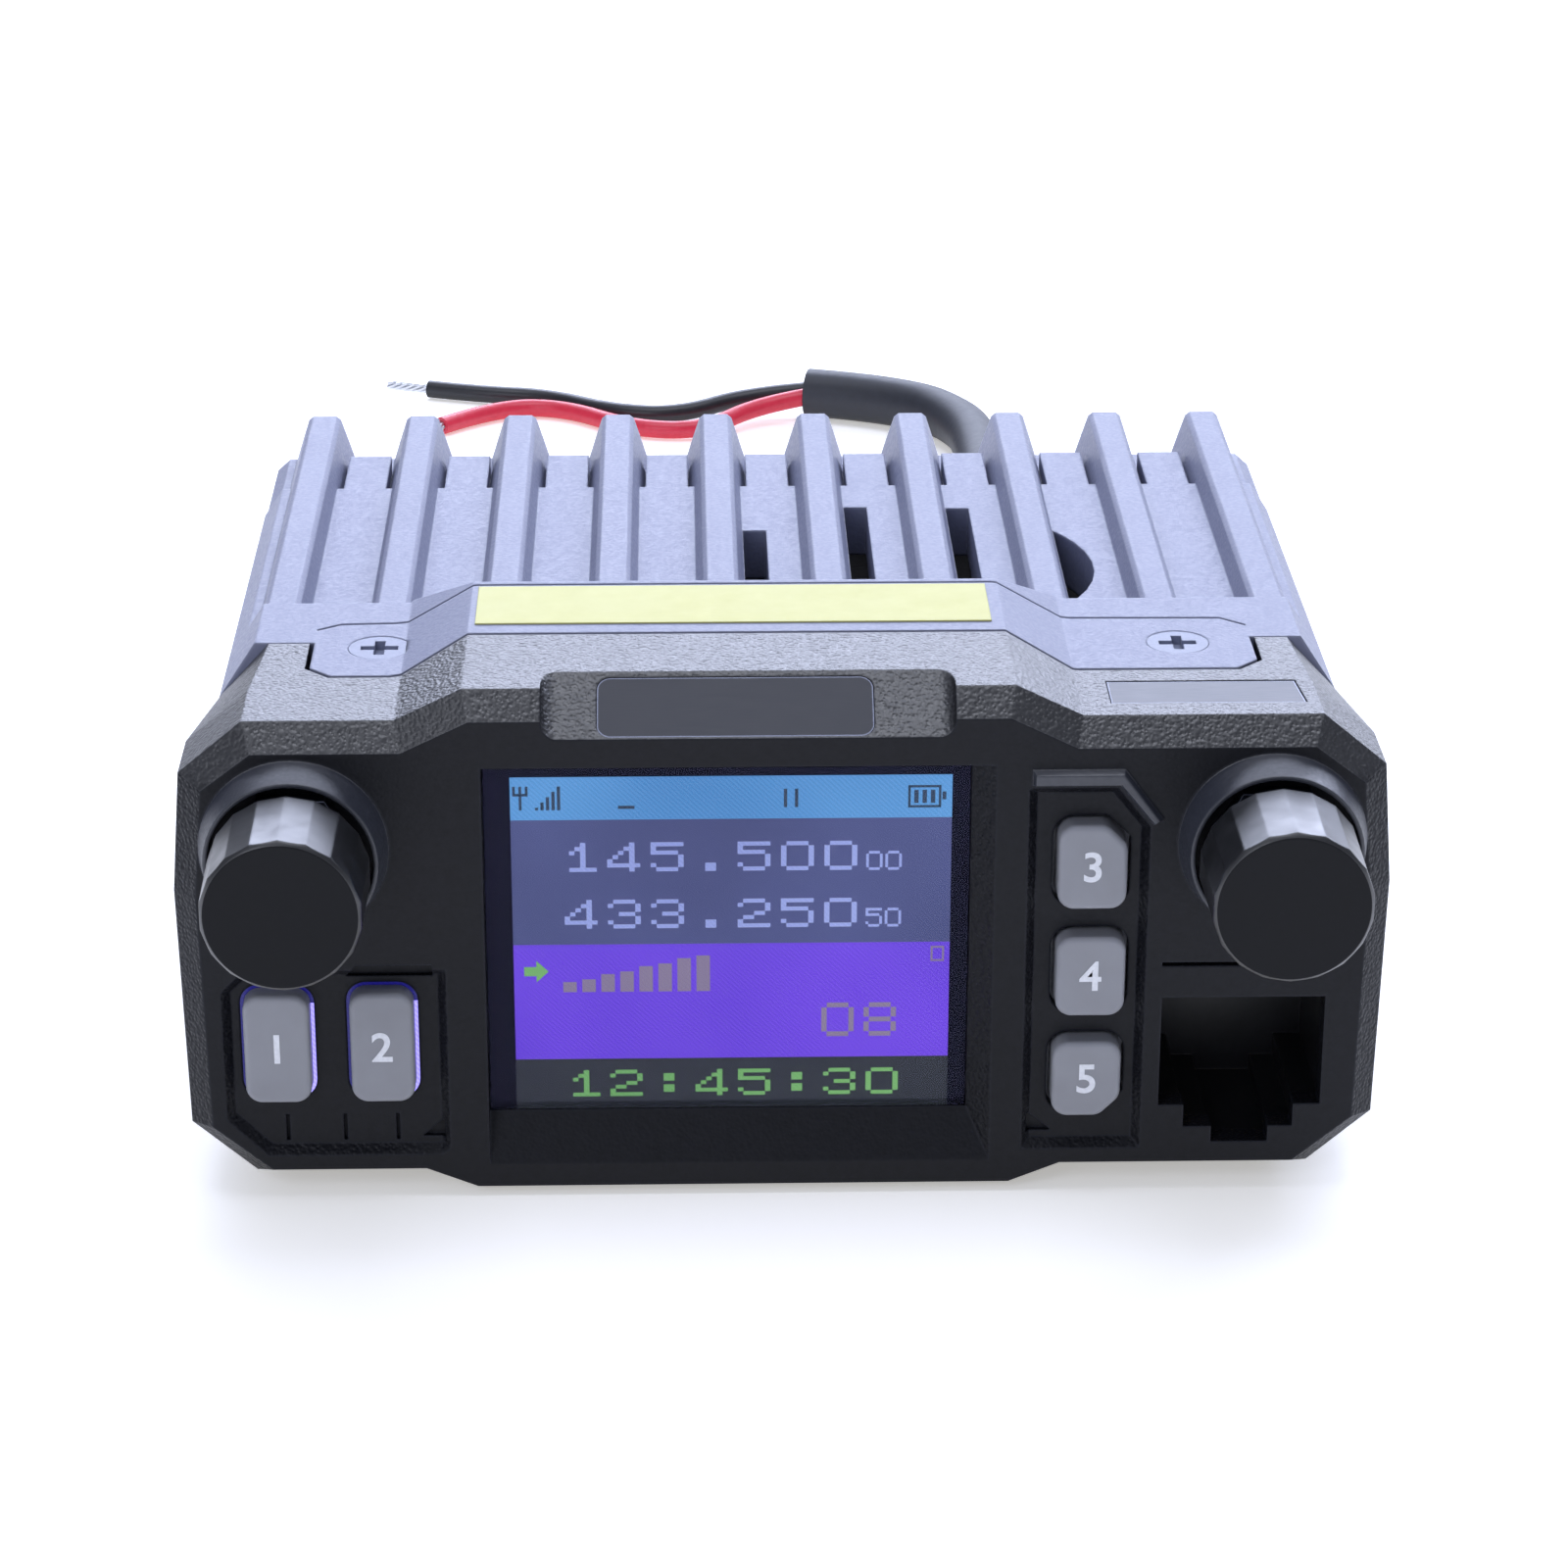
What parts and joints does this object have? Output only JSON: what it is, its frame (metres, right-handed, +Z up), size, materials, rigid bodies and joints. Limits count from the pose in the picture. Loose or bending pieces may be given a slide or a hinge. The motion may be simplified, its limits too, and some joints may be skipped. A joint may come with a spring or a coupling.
{
  "type": "mobile transceiver",
  "caption": "Vehicle-mounted two-way radio with a finned die-cast case, front panel with colour display, knobs and keys, rear fan, antenna socket and power lead.",
  "frame": {"origin": "middle of the box of the set without its lead, on the surface it stands on", "axes": "+X to the right seen from the front, +Y from the front panel to the rear wall, +Z up"},
  "size_m": [0.098, 0.2303, 0.0443],
  "materials": {
    "case_paint": "satin grey paint on die-cast aluminium",
    "panel_abs": "textured black moulding",
    "plate_black": "fine matt plate",
    "screw_black": "black zinc plate",
    "screw_zinc": "bright zinc plate",
    "knob_gloss": "polished black moulding",
    "shaft_aluminium": "turned",
    "control_steel": "pressed and plated",
    "nickel_plate": "bright nickel",
    "key_translucent": "translucent grey moulding",
    "switch_black": "moulded",
    "lamp_blue": "clear resin",
    "window_clear": "clear polycarbonate",
    "display_black": "glass face of the display",
    "board_green": "solder mask on glass-fibre laminate",
    "socket_black": "moulded nylon",
    "contact_gold": "gold flash on bronze",
    "tinplate": "pressed tinplate",
    "ceramic_black": "moulded package",
    "copper_wire": "enamelled copper",
    "capacitor_sleeve": "shrunk sleeve",
    "connector_cream": "moulded nylon",
    "ribbon_grey": "flat cable",
    "ferrite": "sintered ferrite",
    "paper_cone": "pressed paper",
    "fan_black": "glass-filled moulding",
    "guard_wire": "plated steel wire",
    "ptfe_white": "turned insulator",
    "grommet_rubber": "moulded",
    "jacket_black": "extruded jacket",
    "wire_red": "extruded insulation",
    "label_yellow": "printed film",
    "tinned_copper": "tinned strands",
    "wire_black": "extruded insulation"
  },
  "bodies": {
    "case": {"antenna_contact": "contact_gold", "antenna_insulator": "ptfe_white", "antenna_nut": "nickel_plate", "antenna_socket": "nickel_plate", "black_wire": "wire_black", "blank_label": "label_yellow", "board_connectors": "connector_cream", "bottom_cover": "case_paint", "brow_plate": "plate_black", "channel_encoder": "control_steel", "channel_nut": "nickel_plate", "cover_screws": "screw_black", "display_module": "display_black", "display_window": "window_clear", "fan_frame": "fan_black", "fan_guard": "guard_wire", "fan_screws": "screw_black", "filter_coils": "copper_wire", "front_board": "board_green", "front_board_screws": "screw_zinc", "front_panel": "panel_abs", "heatsink_case": "case_paint", "inner_leads": "wire_black", "key_lamps": "lamp_blue", "key_switches": "switch_black", "lead_grommet": "grommet_rubber", "lead_jacket": "jacket_black", "main_board": "board_green", "main_board_screws": "screw_zinc", "mic_contacts": "contact_gold", "mic_socket": "socket_black", "name_strip": "plate_black", "phone_jack": "socket_black", "phone_jack_nut": "nickel_plate", "power_transistors": "ceramic_black", "red_wire": "wire_red", "ribbon_cable": "ribbon_grey", "shield_can": "tinplate", "speaker_cone": "paper_cone", "speaker_frame": "tinplate", "speaker_magnet": "ferrite", "supply_capacitors": "capacitor_sleeve", "top_screws": "screw_black", "volume_nut": "nickel_plate", "volume_potentiometer": "control_steel", "wire_tips": "tinned_copper"},
    "volume": {"volume_knob": "knob_gloss", "volume_shaft": "shaft_aluminium"},
    "channel": {"channel_knob": "knob_gloss", "channel_shaft": "shaft_aluminium"},
    "fan": {"fan_rotor": "fan_black"},
    "key_1": {"key_1": "key_translucent"},
    "key_2": {"key_2": "key_translucent"},
    "key_3": {"key_3": "key_translucent"},
    "key_4": {"key_4": "key_translucent"},
    "key_5": {"key_5": "key_translucent"}
  },
  "joints": [
    {"name": "volume_turn", "type": "hinge", "parent": "case", "child": "volume", "pos_m": [-0.0391, -0.04715, 0.03135], "axis": [0, 1, 0], "range_deg": [0, 300]},
    {"name": "channel_turn", "type": "hinge", "parent": "case", "child": "channel", "pos_m": [0.0391, -0.04715, 0.03135], "axis": [0, 1, 0], "continuous": true},
    {"name": "fan_spin", "type": "hinge", "parent": "case", "child": "fan", "pos_m": [-0.0065, 0.03085, 0.019], "axis": [0, 1, 0], "continuous": true},
    {"name": "key_1_press", "type": "slide", "parent": "case", "child": "key_1", "axis": [0, 1, 0], "range_m": [0, 0.0005], "stiffness_N_per_m": 400, "springref_m": -0.001},
    {"name": "key_2_press", "type": "slide", "parent": "case", "child": "key_2", "axis": [0, 1, 0], "range_m": [0, 0.0005], "stiffness_N_per_m": 400, "springref_m": -0.001},
    {"name": "key_3_press", "type": "slide", "parent": "case", "child": "key_3", "axis": [0, 1, 0], "range_m": [0, 0.0005], "stiffness_N_per_m": 400, "springref_m": -0.001},
    {"name": "key_4_press", "type": "slide", "parent": "case", "child": "key_4", "axis": [0, 1, 0], "range_m": [0, 0.0005], "stiffness_N_per_m": 400, "springref_m": -0.001},
    {"name": "key_5_press", "type": "slide", "parent": "case", "child": "key_5", "axis": [0, 1, 0], "range_m": [0, 0.0005], "stiffness_N_per_m": 400, "springref_m": -0.001}
  ]
}
